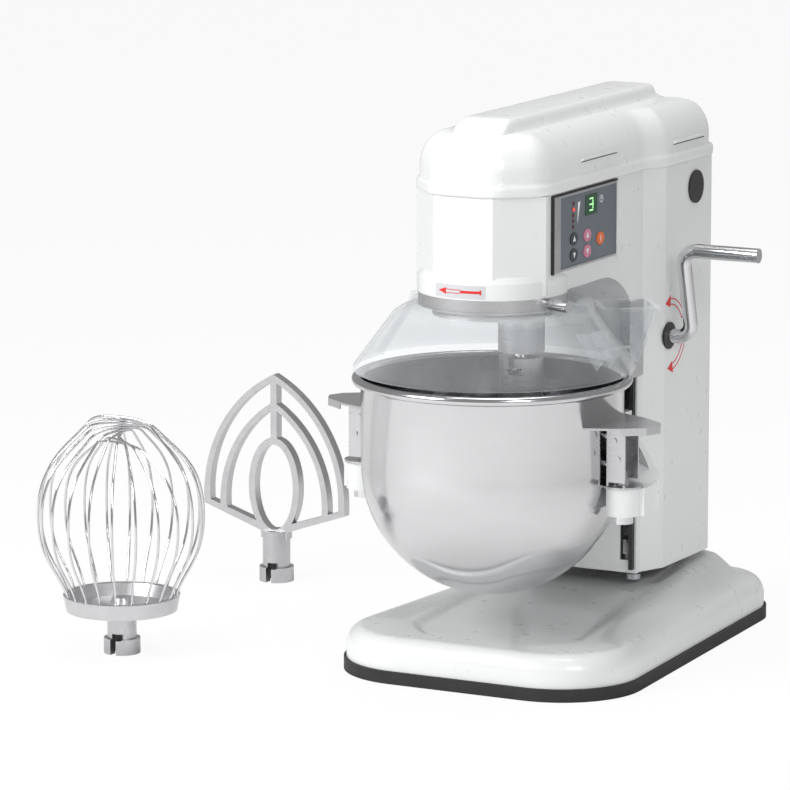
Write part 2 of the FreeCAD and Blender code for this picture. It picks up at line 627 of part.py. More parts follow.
slope = math.atan2(GUARD_SHOULDER_Z - GUARD_FOOT_Z, GUARD_FOOT_R - GUARD_SHOULDER_R)


def off_cone(radius, z, distance):
    return (radius + distance * math.sin(slope), z + distance * math.cos(slope))


GRIP_ANGLE = -9.0
grip = []
for side in (-1, 1):
    foot_a = off_cone(100.0, 337.0, -1.0)
    foot_b = off_cone(124.0, 304.5, -1.0)
    top_b = off_cone(121.0, 308.5, 17.0)
    top_a = off_cone(106.0, 329.0, 17.0)
    wing = face_of([V(r, side * 9.0, z) for r, z in (foot_a, foot_b, top_b, top_a)])
    grip.append(wing.extrude(V(0, 2.5 * side, 0)))
bridge = face_of([V(r, -9.0, z) for r, z in (off_cone(106.0, 329.0, 14.0), off_cone(121.0, 308.5, 14.0), top_b, top_a)])
grip.append(bridge.extrude(V(0, 18.0, 0)))
grip = turned_about_axis(fused(grip), GRIP_ANGLE)
save("guard_front", guard_front.fuse(grip).removeSplitter())

inner_top = off_cone(GUARD_SHOULDER_R, GUARD_SHOULDER_Z, SHELL_GAP)
inner_foot = off_cone(GUARD_FOOT_R, GUARD_FOOT_Z, SHELL_GAP)
outer_top = off_cone(GUARD_SHOULDER_R, GUARD_SHOULDER_Z, SHELL_GAP + GUARD_WALL)
rear_profile = [(78, 357.5), (outer_top[0] - 2.0, 357.5), outer_top, (rear_foot_r, GUARD_FOOT_Z + 2.0),
                (rear_foot_r, lip_z + 1.5), (GUARD_FOOT_R + SHELL_GAP, lip_z + 1.5), inner_foot, inner_top,
                (GUARD_SHOULDER_R - 2.0, 355.0), (78, 355.0)]
guard_rear = lathe(rear_profile, REAR_START, REAR_SPAN)
chute_hole = turned_about_axis(box(108.0, 125.0, -18.0, 18.0, 300.0, 352.0), CHUTE_ANGLE)
save("guard_rear", guard_rear.cut(chute_hole))


def chute_wedge(inset):
    corners = [(97.0 + 2 * inset, CHUTE_RIM_Z + (1 if inset else 0)), (CHUTE_RIM_R - inset, CHUTE_RIM_Z + (1 if inset else 0)),
               (134.0 - 0.6 * inset, 301.0 + inset), (127.0, 301.0 + inset)]
    half = CHUTE_HALF - inset
    return face_of([V(r, -half, z) for r, z in corners]).extrude(V(0, 2 * half, 0))


chute = chute_wedge(0.0).cut(chute_wedge(GUARD_WALL))
rim_frame = box(118.0, CHUTE_RIM_R + 3, -CHUTE_HALF - 3, CHUTE_HALF + 3, CHUTE_RIM_Z - 2.5, CHUTE_RIM_Z)
rim_frame = rim_frame.makeFillet(10.0, [e for e in upright_edges(rim_frame) if e.BoundBox.XMax > 140])
chute = chute.fuse(rim_frame.cut(chute_wedge(GUARD_WALL)))
chute = turned_about_axis(chute, CHUTE_ANGLE)
under_cone = lathe([(0, 357.6), (outer_top[0] - 2.0, 357.6), (outer_top[0] + 0.05, outer_top[1] + 0.05),
                    (rear_foot_r + 0.05, GUARD_FOOT_Z + 2.05), (rear_foot_r + 0.05, 250), (0, 250)])
save("feed_chute", chute.cut(under_cone).removeSplitter())

knob = fused([rod_along(PIN_STEM_R, pin_axis(BAND_BORE + 2), pin_axis(BUSH_END + 4)),
              rod_along(5.5, pin_axis(BUSH_END + 1.0), pin_axis(94.0))])
save("guard_pin", knob)


# ------------------------------------------------------------------ lift
wall_inside = COLUMN_HALF - CASTING_WALL
right_bush = rod_along(BUSH_R - SEAT, V(wall_inside - 6, CRANK_Y, CRANK_Z), V(COLUMN_HALF, CRANK_Y, CRANK_Z))
right_bush = right_bush.fuse(rod_along(CRANK_BOSS_R, V(COLUMN_HALF, CRANK_Y, CRANK_Z), V(COLUMN_HALF + 2, CRANK_Y, CRANK_Z)))
left_bush = rod_along(CRANK_BOSS_R, V(-wall_inside, CRANK_Y, CRANK_Z), V(-wall_inside + 12, CRANK_Y, CRANK_Z))
shaft_way = rod_along(CRANK_R + RUN, V(-wall_inside + 1.5, CRANK_Y, CRANK_Z), V(COLUMN_HALF + 3, CRANK_Y, CRANK_Z))
left_bush = left_bush.common(offset_outline(column_outline, -CASTING_WALL, CRANK_Z - 20, CRANK_Z + 20))
save("crank_bushes", right_bush.cut(shaft_way), left_bush.cut(shaft_way))

elbow = V(CRANK_PLANE, CRANK_Y, CRANK_Z)
wrist = elbow + V(0, CRANK_LEAN, CRANK_RISE)
crank = bent_rod([V(-wall_inside + 2, CRANK_Y, CRANK_Z), elbow, wrist, V(GRIP_END, wrist.y, wrist.z)], CRANK_R, 15.0)
save("crank_handle", crank)

PINION_HALF = 7.0
pinion = prism(toothed_outline(PINION_TEETH, GEAR_MODULE, PINION_R + 1.4, PINION_R - 1.8), -PINION_HALF, PINION_HALF)
pinion = pinion.cut(rod(CRANK_R + SEAT, -PINION_HALF - 1, PINION_HALF + 1))
pinion.rotate(V(0, 0, 0), V(0, 1, 0), 90)
pinion.translate(V(0, CRANK_Y, CRANK_Z))
save("crank_pinion", pinion)

rods = [rod(ROD_R, PEDESTAL_TOP + 3, ROD_TOP, side * ROD_X, ROD_Y) for side in (-1, 1)]
save("guide_rods", *rods)
brackets = []
for low in (PEDESTAL_TOP, ROD_TOP - 14):
    bar = box(-wall_inside, wall_inside, ROD_Y - 12, ROD_Y + 12, low, low + 14)
    for guide in rods:
        bar = bar.cut(guide)
    brackets.append(bar)
save("rod_brackets", *brackets)

BLOCK_Z = (168.0, 210.0)
BLOCK_HALF = SLOT_X - WEB_THICK / 2
pitch_line = CRANK_Y - PINION_R
RACK_BACK = pitch_line - 12.0
rack_face = pitch_line - 1.8
block = box(-BLOCK_HALF, BLOCK_HALF, rack_face - 2, ROD_Y + 16, *BLOCK_Z)
bushes = []
for side in (-1, 1):
    block = block.cut(rod(ROD_R + 4, BLOCK_Z[0] - 1, BLOCK_Z[1] + 1, side * ROD_X, ROD_Y))
    bushes.append(ring(ROD_R + 4 - SEAT, ROD_R + RUN, BLOCK_Z[0], BLOCK_Z[1], side * ROD_X, ROD_Y))
save("carriage_block", block)
save("carriage_bushes", *bushes)

tooth_pitch = math.pi * GEAR_MODULE
rack_half = 6.0
rack_teeth = []
first_row = -3
last_row = math.ceil(TRAVEL / tooth_pitch) + 2
for row in range(first_row, last_row + 1):
    middle = CRANK_Z + (row + 0.5) * tooth_pitch
    flank = [(rack_face, middle - 0.30 * tooth_pitch), (pitch_line + 1.3, middle - 0.12 * tooth_pitch),
             (pitch_line + 1.3, middle + 0.12 * tooth_pitch), (rack_face, middle + 0.30 * tooth_pitch)]
    rack_teeth.append(side_prism(flank, -rack_half, rack_half))
rack_top = CRANK_Z + (last_row + 1) * tooth_pitch
rack = box(-rack_half, rack_half, RACK_BACK, rack_face, BLOCK_Z[1], rack_top)
foot = box(-rack_half, rack_half, RACK_BACK, rack_face - 2, BLOCK_Z[0], BLOCK_Z[1])
save("lift_rack", fused([rack, foot] + rack_teeth))

# cradle: half ring round the bowl, with pads for the pins and webs through the column's slots
yoke_z = (YOKE_TOP - YOKE_DEEP, YOKE_TOP)
GUSSET_TOP = 232.0
YOKE_BACK = COLUMN_FRONT - RAIL[2] - 0.6
half_ring = [(YOKE_INNER, yoke_z[0]), (YOKE_OUTER, yoke_z[0]), (YOKE_OUTER, yoke_z[1]), (YOKE_INNER, yoke_z[1])]
yoke = [lathe(half_ring, 0.0, 180.0)]
yoke += [rod(PAD_R, *yoke_z, side * PIN_X, 0.0) for side in (-1, 1)]
yoke += slots(34.0, 64.0, 138.0, YOKE_BACK, *yoke_z)
yoke.append(box(-64.0, 64.0, YOKE_BACK - 14, YOKE_BACK, yoke_z[0] - 4, GUSSET_TOP))
upper_wall = lathe([(YOKE_OUTER - 8, YOKE_TOP - 1), (YOKE_OUTER, YOKE_TOP - 1), (YOKE_OUTER, GUSSET_TOP),
                    (YOKE_OUTER - 8, GUSSET_TOP)], 30.0, 120.0)
trapezoid = face_of([V(x, 0, z) for x, z in ((122, YOKE_TOP - 1), (66, GUSSET_TOP), (-66, GUSSET_TOP),
                                             (-122, YOKE_TOP - 1))]).extrude(V(0, 200, 0))
yoke.append(upper_wall.common(trapezoid))
web_inner = SLOT_X - WEB_THICK / 2
yoke += slots(web_inner, web_inner + WEB_THICK, YOKE_BACK - 4, ROD_Y - 20, BLOCK_Z[0] + 4, BLOCK_Z[1] - 4)
yoke = fused(yoke).cut(rod(BOWL_R + BOWL_PLAY, 100.0, 300.0))
for side in (-1, 1):
    yoke = yoke.cut(rod(PIN_R, yoke_z[0] - 1, yoke_z[1] + 1, side * PIN_X, 0.0))
yoke = yoke.cut(box(-65.5, 65.5, YOKE_BACK, COLUMN_FRONT + 6, GUSSET_TOP - 200, YOKE_TOP - YOKE_DEEP - 4.1))
save("lift_yoke", yoke)

pins = []
for side in (-1, 1):
    shank = rod(PIN_R, yoke_z[0] - 6, YOKE_TOP + TAB_THICK, side * PIN_X, 0.0)
    nut = ring(PIN_R + 4, PIN_R, yoke_z[0] - 8, yoke_z[0], side * PIN_X, 0.0)
    point = Part.makeCone(PIN_R, 3.0, 14.0, V(side * PIN_X, 0, YOKE_TOP + TAB_THICK), UP)
    pins.append(fused([shank, nut, point]))
save("locating_pins", *pins)

# ------------------------------------------------------------------ bowl
wall_top = RIM_TOP - 3.0


def bowl_form(radius):
    ball = Part.makeSphere(radius, V(0, 0, BOWL_CENTRE_Z))
    ball = ball.common(box(-200, 200, -200, 200, 0, BOWL_CENTRE_Z))
    return ball.fuse(rod(radius, BOWL_CENTRE_Z, wall_top))


bead = Part.makeTorus(RIM_R - BEAD_R, BEAD_R, V(0, 0, RIM_TOP - BEAD_R))
bowl = bowl_form(BOWL_R).fuse(bead)
bowl = bowl.cut(bowl_form(BOWL_R - BOWL_WALL).fuse(rod(BOWL_R - BOWL_WALL, wall_top - 2, RIM_TOP + 1)))
save("bowl", bowl.removeSplitter())

bowl_skin = rod(BOWL_R, 100.0, 300.0)
BRACKET_WEB = 125.5
BRACKET_HALF = 15.0
one_bracket = [box(BRACKET_WEB, BRACKET_WEB + 2, -BRACKET_HALF, BRACKET_HALF, YOKE_TOP, HANDLE_Z),
               rod(TAB_R, YOKE_TOP, YOKE_TOP + TAB_THICK, PIN_X, 0.0)]
for side in (-1, 1):
    near, far = sorted((side * BRACKET_HALF, side * (BRACKET_HALF - 2)))
    flank = box(BRACKET_WEB, 144.0, near, far, YOKE_TOP + 6, HANDLE_Z)
    one_bracket.append(flank)
    for z in (YOKE_TOP + 22, HANDLE_Z - 10):
        one_bracket.append(rod_along(3.0, V(BOWL_R - 1.0, side * 8.0, z), V(BRACKET_WEB, side * 8.0, z)))
one_bracket = fused(one_bracket).cut(bowl_skin)
one_bracket = one_bracket.cut(rod(PIN_R + PIN_PLAY, YOKE_TOP - 1, YOKE_TOP + 18, PIN_X, 0.0))
rivets = []
for x, z in ((133.0, HANDLE_Z - 13), (137.0, HANDLE_Z - 30)):
    for side in (-1, 1):
        stem = rod_along(1.6, V(x, side * (BRACKET_HALF - 3), z), V(x, side * (BRACKET_HALF + 1), z))
        one_bracket = one_bracket.cut(stem)
        rivets.append(stem.fuse(rod_along(2.6, V(x, side * BRACKET_HALF, z), V(x, side * (BRACKET_HALF + 1.2), z))))
save("bowl_brackets", one_bracket, turned_about_axis(one_bracket, 180.0))
save("bracket_rivets", *rivets, *[turned_about_axis(rivet, 180.0) for rivet in rivets])

leaf = [(108.0, -46.0), (140.0, -33.0), (166.0, -15.0), (HANDLE_TIP, 0.0), (166.0, 15.0), (140.0, 33.0), (108.0, 46.0)]
plate = prism(leaf, HANDLE_Z, HANDLE_Z + 2)
lip = prism(leaf, HANDLE_Z - 5, HANDLE_Z + 1).cut(offset_outline(leaf, -2.0, HANDLE_Z - 6, HANDLE_Z + 2))
lip = lip.common(box(146, 200, -60, 60, HANDLE_Z - 10, HANDLE_Z + 10))
one_handle = fused([plate, lip]).cut(bowl_skin)
save("bowl_handles", one_handle, turned_about_axis(one_handle, 180.0))

# ------------------------------------------------------------------ planet carrier and tool shaft
carrier_top = CARRIER_BOTTOM + CARRIER_THICK
carrier = ring(CARRIER_R, SHAFT_R, CARRIER_BOTTOM, carrier_top)
carrier = carrier.cut(rod(TOOL_SHAFT_R + 1.5, CARRIER_BOTTOM - 1, carrier_top + 1, ORBIT, 0.0))
save("planet_carrier", carrier)
save("main_shaft", rod(SHAFT_R, CARRIER_BOTTOM, PULLEY_BOTTOM + PULLEY_FACE + 2))


def pulley(radius, bore):
    low, high = PULLEY_BOTTOM, PULLEY_BOTTOM + PULLEY_FACE
    wheel = rod(radius, low, high).fuse(rod(radius + 3, low, low + PULLEY_FLANGE))
    wheel = wheel.fuse(rod(radius + 3, high - PULLEY_FLANGE, high))
    return wheel.cut(rod(bore, low - 1, high + 1)).removeSplitter()


save("driven_pulley", pulley(PULLEY_R, SHAFT_R))
motor_pulley = pulley(MOTOR_PULLEY_R, 1.0)
motor_pulley.translate(V(0, MOTOR_Y, 0))
rotor = rod(MOTOR_SHAFT_R, MOTOR_TOP - 38, PULLEY_BOTTOM + PULLEY_FACE, 0, MOTOR_Y)
save("motor_pulley", motor_pulley.fuse(rotor).removeSplitter())

POD_BORE = 15.0
save("tool_pod", ring(POD_R, POD_BORE, POD_BOTTOM, CARRIER_BOTTOM, ORBIT, 0.0))
pod_bearings = [ring(POD_BORE - SEAT, TOOL_SHAFT_R + RUN, low, low + 8, ORBIT, 0.0)
                for low in (POD_BOTTOM + 1, CARRIER_BOTTOM - 9)]
save("pod_bearings", *pod_bearings)

HUB_TOP = 308.0
HUB_BOTTOM = 262.0
HUB_R = 20.7
DRIVE_PIN_R = 2.4
PIN_LEVEL = HUB_TOP - 12.0
pinion_top = COLLAR_BOTTOM - 1.0
shaft = rod(TOOL_SHAFT_R, TOOL_SHAFT_BOTTOM, pinion_top, ORBIT, 0.0)
drive_pin = rod_along(DRIVE_PIN_R, V(ORBIT, -HUB_R + 1, PIN_LEVEL), V(ORBIT, HUB_R - 1, PIN_LEVEL))
save("tool_shaft", shaft.fuse(drive_pin).removeSplitter())
planet_r = PLANET_TEETH * GEAR_MODULE / 2
planet = prism(toothed_outline(PLANET_TEETH, GEAR_MODULE, planet_r + 1.3, planet_r - 1.9), pinion_top - 10, pinion_top)
planet = planet.cut(rod(TOOL_SHAFT_R, pinion_top - 11, pinion_top + 1))
planet.translate(V(ORBIT, 0, 0))
save("planet_pinion", planet)


def bayonet(x, y, level, mouth, outward):
    """Slot up from the socket's mouth and the sideways seat at its end."""
    low, high = sorted((mouth, level + outward * DRIVE_PIN_R))
    way = box(x - 3, x + 3, y - 30, y + 30, low, high)
    seat = box(x - 3, x + 10, y - 30, y, level - 3, level + 3)
    return way.fuse(seat).fuse(box(x - 10, x + 3, y, y + 30, level - 3, level + 3))


hub = rod(HUB_R, HUB_BOTTOM, HUB_TOP, ORBIT, 0.0)
hook_route = [V(ORBIT, 0, HUB_BOTTOM + 3), V(ORBIT, 0, 244), V(ORBIT + 44, 12, 218), V(ORBIT + 54, 18, 168),
              V(ORBIT + 31, 14, 112), V(ORBIT + 2, 0, 95), V(ORBIT - 15, -10, 104), V(ORBIT - 28, -20, 128)]
hook = hub.fuse(bent_rod(hook_route, 8.0, 24.0))
hook = hook.cut(rod(SOCKET_R, TOOL_SHAFT_BOTTOM, HUB_TOP + 1, ORBIT, 0.0))
hook = hook.cut(bayonet(ORBIT, 0.0, PIN_LEVEL, HUB_TOP + 1, 1))
save("dough_hook", hook)


# ------------------------------------------------------------------ loose tools
def tool_socket(x, y, stem_top):
    """Bayonet socket that a loose tool stands on, mouth down."""
    body = rod(TOOL_COLLAR_R, 0.0, TOOL_COLLAR_H, x, y).fuse(rod(TOOL_STEM_R, 0.0, stem_top, x, y))
    body = body.cut(rod(SOCKET_R, -1.0, SOCKET_DEPTH, x, y))
    way = box(x - 3, x + 3, y - 30, y, -1.0, TOOL_COLLAR_H + 5)
    seat = box(x - 3, x + 8, y - 30, y, TOOL_COLLAR_H - 1, TOOL_COLLAR_H + 5)
    return body.cut(way.fuse(seat))


ring_low = WHISK_RING_Z
whisk_plate = lathe([(0, ring_low), (WHISK_RING_R - 3, ring_low), (WHISK_RING_R, ring_low + 15),
                     (WHISK_RING_R - 6, ring_low + 15), (WHISK_RING_R - 12, ring_low + 4), (12, ring_low + 4),
                     (9, ring_low + 12), (0, ring_low + 12)])
whisk_plate.translate(V(WHISK_X, WHISK_Y, 0))
save("whisk_hub", tool_socket(WHISK_X, WHISK_Y, ring_low + 1).fuse(whisk_plate).removeSplitter())

wires = []
root_r = WHISK_RING_R - 3.0
for loop in range(WIRE_LOOPS):
    top = WHISK_TOP - loop * (2 * WIRE_R + 0.15)
    for half_turn in (0.0, 180.0):
        foot_z = ring_low + 15.0
        rise = top - WHISK_BULGE_Z
        through = [V(root_r, 0, foot_z), V(73.0, 0, foot_z + 40.0), V(WHISK_BULGE, 0, WHISK_BULGE_Z),
                   V(66.0, 0, WHISK_BULGE_Z + 0.55 * rise), V(38.0, 0, WHISK_BULGE_Z + 0.88 * rise), V(0, 0, top)]
        curve = Part.BSplineCurve()
        curve.interpolate(Points=through, InitialTangent=V(0.35, 0, 1), FinalTangent=V(-1, 0, 0))
        section = Part.Wire([Part.Circle(through[0], V(0.35, 0, 1), WIRE_R).toShape()])
        wire = Part.Wire([curve.toShape()]).makePipeShell([section], True, False)
        wire.rotate(V(0, 0, 0), UP, half_turn + loop * 180.0 / WIRE_LOOPS)
        wire.translate(V(WHISK_X, WHISK_Y, 0))
        wires.append(wire)
save("whisk_wires", *wires)


def leaf_face(half, corner_z, top_z, middle_z):
    """Beater outline: two bowed sides from the top, straight lower edges to the stem."""
    bow = 0.80
    left = Part.Arc(V(-half, 0, corner_z), V(-half * bow, 0, corner_z + 0.55 * (top_z - corner_z)), V(0, 0, top_z))
    right = Part.Arc(V(0, 0, top_z), V(half * bow, 0, corner_z + 0.55 * (top_z - corner_z)), V(half, 0, corner_z))
    lower = [Part.LineSegment(V(half, 0, corner_z), V(0, 0, middle_z)), Part.LineSegment(V(0, 0, middle_z), V(-half, 0, corner_z))]
    return Part.Face(Part.Wire([edge.toShape() for edge in [left, right] + lower]))


def slab(face):
    thick = face.extrude(V(0, BEATER_THICK, 0))
    thick.translate(V(0, -BEATER_THICK / 2, 0))
    return thick


STEM_TOP = 46.0


def bowed_frame(half, corner_z, top_z):
    outside = slab(leaf_face(half, corner_z, top_z, STEM_TOP))
    return outside.cut(slab(leaf_face(half - BEATER_BAR, corner_z + 4.0, top_z - BEATER_BAR, STEM_TOP + 8.0)))


frame = bowed_frame(BEATER_HALF, BEATER_CORNER_Z, BEATER_TOP)
bow_ring = bowed_frame(BEATER_HALF - 19.0, BEATER_CORNER_Z - 6.0, BEATER_TOP - 28.0)


def eye(half_x, half_z):
    oval = Part.Ellipse(V(0, 0, 97.0), half_z, half_x)
    oval.Axis = V(0, 1, 0)
    oval.XAxis = V(0, 0, 1)
    return slab(Part.Face(Part.Wire([oval.toShape()])))


mid_bar = box(-BEATER_BAR / 2, BEATER_BAR / 2, -BEATER_THICK / 2, BEATER_THICK / 2, 142.0, BEATER_TOP - 3)
neck = prism([(-15, -BEATER_THICK / 2), (15, -BEATER_THICK / 2), (15, BEATER_THICK / 2), (-15, BEATER_THICK / 2)], 44.0, 56.0)
beater = fused([frame, bow_ring, eye(29.0, 51.0), mid_bar, neck]).cut(eye(29.0 - BEATER_BAR, 51.0 - BEATER_BAR))
beater.translate(V(BEATER_X, BEATER_Y, 0))
save("flat_beater", tool_socket(BEATER_X, BEATER_Y, STEM_TOP + 6).fuse(beater).removeSplitter())
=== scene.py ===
import math

import bpy
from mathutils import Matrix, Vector


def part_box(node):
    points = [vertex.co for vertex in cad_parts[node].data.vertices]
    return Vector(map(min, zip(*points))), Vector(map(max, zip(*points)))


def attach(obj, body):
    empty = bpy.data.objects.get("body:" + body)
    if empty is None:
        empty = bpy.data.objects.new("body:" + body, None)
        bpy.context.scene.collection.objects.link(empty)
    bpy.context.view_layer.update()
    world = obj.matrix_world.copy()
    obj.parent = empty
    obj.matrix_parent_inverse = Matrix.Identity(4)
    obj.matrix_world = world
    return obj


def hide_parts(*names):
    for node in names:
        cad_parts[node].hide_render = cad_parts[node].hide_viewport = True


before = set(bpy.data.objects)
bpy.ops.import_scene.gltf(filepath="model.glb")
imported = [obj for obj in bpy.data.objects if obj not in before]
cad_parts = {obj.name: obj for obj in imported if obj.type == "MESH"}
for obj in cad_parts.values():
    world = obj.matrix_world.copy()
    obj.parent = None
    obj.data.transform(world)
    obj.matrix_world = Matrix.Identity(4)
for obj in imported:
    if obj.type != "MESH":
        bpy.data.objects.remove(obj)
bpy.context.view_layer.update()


# Cast body: white stoved enamel over cast aluminium, glossy, with the faint
# orange peel that such paint has and slightly uneven gloss.

class Value:
    """A shader node's output that takes part in arithmetic."""

    def __init__(self, tree, socket):
        self.tree = tree
        self.socket = socket

    def maths(self, operation, first, second=None):
        node = self.tree.nodes.new("ShaderNodeMath")
        node.operation = operation
        for index, item in enumerate((first, second)):
            if isinstance(item, Value):
                self.tree.links.new(item.socket, node.inputs[index])
            elif item is not None:
                node.inputs[index].default_value = item
        return Value(self.tree, node.outputs[0])

    def __add__(self, other):
        return self.maths("ADD", self, other)

    def __sub__(self, other):
        return self.maths("SUBTRACT", self, other)

    def __rsub__(self, other):
        return self.maths("SUBTRACT", other, self)

    def __mul__(self, other):
        return self.maths("MULTIPLY", self, other)

    def __pow__(self, other):
        return self.maths("POWER", self, other)

    __radd__ = __add__
    __rmul__ = __mul__


class Finish:
    """One procedural material: a Principled surface and the nodes that vary it."""

    def __init__(self, name, colour, rough, metallic=0.0, coat=0.0, coat_rough=0.05):
        self.material = bpy.data.materials.new(name)
        self.material.use_nodes = True
        self.tree = self.material.node_tree
        self.surface = self.tree.nodes["Principled BSDF"]
        self.colour = (*colour, 1.0)
        for socket, value in (("Base Color", self.colour), ("Roughness", rough), ("Metallic", metallic),
                              ("Coat Weight", coat), ("Coat Roughness", coat_rough)):
            self.surface.inputs[socket].default_value = value

    def node(self, kind, settings=(), output=0, numbered=(), **named):
        made = self.tree.nodes.new(kind)
        for key, value in dict(settings).items():
            setattr(made, key, value)
        sockets = [(key.replace("_", " "), value) for key, value in named.items()]
        for key, value in sockets + list(dict(numbered).items()):
            socket = made.inputs[key]
            if isinstance(value, Value):
                self.tree.links.new(value.socket, socket)
            else:
                socket.default_value = value
        return Value(self.tree, made.outputs[output])

    def drive(self, socket, value):
        self.tree.links.new(value.socket, self.surface.inputs[socket])

    def place(self, stretch=(1, 1, 1)):
        spot = self.node("ShaderNodeTexCoord", output=3)
        return self.node("ShaderNodeMapping", Vector=spot, Scale=stretch)

    def noise(self, scale, detail=3.0, stretch=(1, 1, 1)):
        return self.node("ShaderNodeTexNoise", Vector=self.place(stretch), Scale=scale, Detail=detail)

    def tint(self, factor, other):
        colours = {0: factor, 6: self.colour, 7: (*other, 1.0)}
        self.drive("Base Color", self.node("ShaderNodeMix", {"data_type": "RGBA"}, 2, colours))

    def mix_over(self, factor, other, surface_first):
        """Mixes another shader with the surface and sends the result to the output."""
        surface = Value(self.tree, self.surface.outputs[0])
        pair = (surface, other) if surface_first else (other, surface)
        mixed = self.node("ShaderNodeMixShader", numbered={0: factor, 1: pair[0], 2: pair[1]})
        self.tree.links.new(mixed.socket, self.tree.nodes["Material Output"].inputs[0])

    def bump(self, height, distance, strength=0.5):
        normal = self.node("ShaderNodeBump", Height=height, Distance=distance, Strength=strength)
        self.drive("Normal", normal)

    def on(self, *nodes):
        for name in nodes:
            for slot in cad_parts[name].material_slots:
                slot.material = self.material
        return self


def piece(name, points, faces, finish, body="base", slot=None, instead=(), smooth=True):
    """Builds a mesh piece, hangs it on its body's empty, gives it its finish and hides the CAD parts it stands
    in for.
    """
    mesh = bpy.data.meshes.new(name)
    mesh.from_pydata([tuple(p) for p in points], [], faces)
    mesh.polygons.foreach_set("use_smooth", [smooth] * len(mesh.polygons))
    mesh.materials.append(finish.material)
    made = bpy.data.objects.new(name, mesh)
    bpy.context.scene.collection.objects.link(made)
    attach(made, body)
    if instead:
        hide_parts(*instead)
    return made


enamel = Finish("white_enamel", (0.83, 0.84, 0.84), 0.3, coat=0.45, coat_rough=0.07)
enamel.tint(enamel.noise(14.0) ** 2.0 * 0.5, (0.78, 0.80, 0.81))
enamel.drive("Roughness", enamel.noise(60.0) * 0.10 + 0.24)
enamel.bump(enamel.noise(120.0, 1.0), 0.00004, 0.06)
enamel.on("body_casting", "rear_cover", "lift_yoke")

# Cover shell: one shell with a proud lip at the seam and a large roll round its top edge.
# It is cast with the same outline as the head below it and is held by one screw.
def corners_closed(outline, radii, inset, steps=10):
    """Outline moved inwards by inset, with each corner rounded to its own radius less the inset."""
    count = len(outline)
    ring = []
    for index in range(count):
        before, corner, after = (Vector(outline[(index + k) % count]) for k in (-1, 0, 1))
        way_in = (corner - before).normalized()
        way_out = (after - corner).normalized()
        side_in = Vector((-way_in.y, way_in.x))
        side_out = Vector((-way_out.y, way_out.x))
        bisector = (side_in + side_out).normalized()
        turn = math.atan2(way_in.cross(way_out), way_in.dot(way_out))
        if abs(turn) < 1e-6:
            ring.append(corner + bisector * inset)
            continue
        moved = corner + bisector * (inset / math.cos(turn / 2))
        radius = max(radii[index] - math.copysign(inset, turn), 0.0015)
        back = radius * math.tan(abs(turn) / 2)
        start = moved - way_in * back
        centre = start + side_in * math.copysign(radius, turn)
        arm = start - centre
        for step in range(steps + 1):
            angle = turn * step / steps
            ring.append(centre + Vector((arm.x * math.cos(angle) - arm.y * math.sin(angle),
                                         arm.x * math.sin(angle) + arm.y * math.cos(angle))))
    return ring


def bridge(rings, count, closed=True):
    """Quads between successive rings of the same count."""
    faces = []
    for level in range(rings - 1):
        for index in range(count if closed else count - 1):
            after = (index + 1) % count
            low, high = level * count, (level + 1) * count
            faces.append((low + index, low + after, high + after, high + index))
    return faces


def cap(start, count):
    """Closes a ring that mirrors itself about the plane of symmetry, with a row of quads across it."""
    last = start + count - 1
    return [(start + k, start + k + 1, last - k - 1, last - k) for k in range(count // 2 - 1)]


def smoothstep(low, high, value):
    share = min(max((value - low) / (high - low), 0.0), 1.0)
    return share * share * (3 - 2 * share)


head_half = [(0.0305, -0.061), (0.067, -0.0245), (0.067, 0.183), (0.078, 0.211), (0.078, 0.320)]
head_outline = head_half + [(-x, y) for x, y in reversed(head_half)]
head_radii = [0.030, 0.036, 0.03, 0.03, 0.016, 0.016, 0.03, 0.03, 0.036, 0.030]

cover_profile = [(-0.0010, 0.4622), (-0.0023, 0.4630), (-0.0025, 0.4660), (-0.0025, 0.4705), (-0.0018, 0.4728),
                 (-0.0002, 0.4738), (0.0002, 0.4760)]
roll_radius = 0.028
roll_top = 0.5175
for step in range(13):
    angle = math.radians(90 * step / 12)
    sink = roll_radius * (1 - math.sin(angle)) * 1.25
    cover_profile.append((roll_radius * (1 - math.cos(angle)), roll_top - sink))
points = []
for inset, z in cover_profile:
    points += [(p.x, p.y, z) for p in corners_closed(head_outline, head_radii, inset)]
ring_count = len(points) // len(cover_profile)
faces = bridge(len(cover_profile), ring_count)
faces += cap(len(points) - ring_count, ring_count)
piece("cover_shell", points, faces, enamel, slot="white_enamel", instead=("head_cover",))

# Spine: the long raised boss along the cover's middle, with rolled edges and a sloping nose; its screw hollow
# is not modelled.
spine_half, spine_rear, spine_nose = 0.027, 0.300, -0.052
slope_rows = [-0.026 + 0.006 * row for row in range(8)]
spine_outline = [(spine_half, spine_nose)] + [(spine_half, y) for y in slope_rows] + [(spine_half, spine_rear)]
spine_outline += [(-x, y) for x, y in reversed(spine_outline)]
spine_radii = [0.022] + [0.01] * 8 + [0.012, 0.012] + [0.01] * 8 + [0.022]
points = []
spine_profile = [(-0.006, 0.5165), (-0.0035, 0.5178), (-0.001, 0.5205), (0.0, 0.5245),
                 (0.0015, 0.5275), (0.004, 0.5292), (0.008, 0.5298)]
for inset, z in spine_profile:
    for p in corners_closed(spine_outline, spine_radii, inset):
        drop = 0.030 * (1 - smoothstep(-0.062, -0.006, p.y)) ** 1.4
        points.append((p.x, p.y, z - drop))
ring_count = len(points) // len(spine_profile)
faces = bridge(len(spine_profile), ring_count)
faces += cap(len(points) - ring_count, ring_count)
piece("cover_spine", points, faces, enamel, slot="white_enamel")

